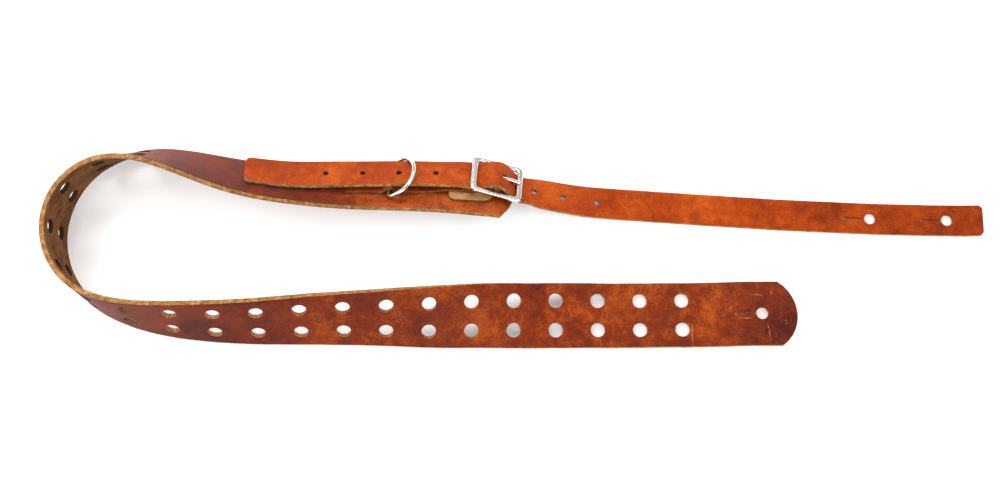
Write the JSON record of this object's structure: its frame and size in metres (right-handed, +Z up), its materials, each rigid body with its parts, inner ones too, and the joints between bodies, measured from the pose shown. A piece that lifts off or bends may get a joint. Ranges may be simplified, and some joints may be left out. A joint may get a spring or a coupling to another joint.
{
  "type": "guitar strap",
  "caption": "Leather guitar strap: a wide punched shoulder strap, a buckle on a folded chape, and a narrow adjuster strap threaded through the buckle and a keeper ring.",
  "frame": {"origin": "centre of the wide end's button hole, where its axis meets the table the strap lies on", "axes": "+X out of the wide strap's rounded end, along the laid strap; +Y towards the buckle's side of the U-turn; +Z up, along the button hole"},
  "size_m": [0.7481, 0.1655, 0.0527],
  "materials": {
    "strap_leather": "waxed pull-up leather, satin",
    "adjuster_leather": "waxed pull-up leather, satin",
    "chape_leather": "thin waxed leather, satin",
    "buckle_plating": "polished nickel plate",
    "ring_plating": "polished nickel plate",
    "rivet_metal": "antique brass, satin"
  },
  "bodies": {
    "strap": {"wide_strap": "strap_leather", "adjuster_strap": "adjuster_leather", "buckle_chape": "chape_leather", "rivet_posts": "rivet_metal", "rivet_caps": "rivet_metal"},
    "buckle": {"buckle_frame": "buckle_plating", "buckle_centre_bar": "buckle_plating"},
    "tongue": {"buckle_tongue": "buckle_plating"},
    "keeper": {"keeper_ring": "ring_plating"}
  },
  "joints": [
    {"name": "buckle_rock", "type": "hinge", "parent": "strap", "child": "buckle", "pos_m": [-0.21129, 0.10625, 0.01819], "axis": [-0.0656, -0.9043, 0.4217], "range_deg": [0, 0.8]},
    {"name": "tongue_lift", "type": "hinge", "parent": "buckle", "child": "tongue", "pos_m": [-0.21129, 0.10625, 0.01819], "axis": [-0.0656, -0.9043, 0.4217], "range_deg": [0, 2]},
    {"name": "keeper_swing", "type": "hinge", "parent": "strap", "child": "keeper", "pos_m": [-0.2977, 0.10552, 0.01709], "axis": [0.0061, -0.8736, 0.4866], "range_deg": [0, 108]}
  ]
}
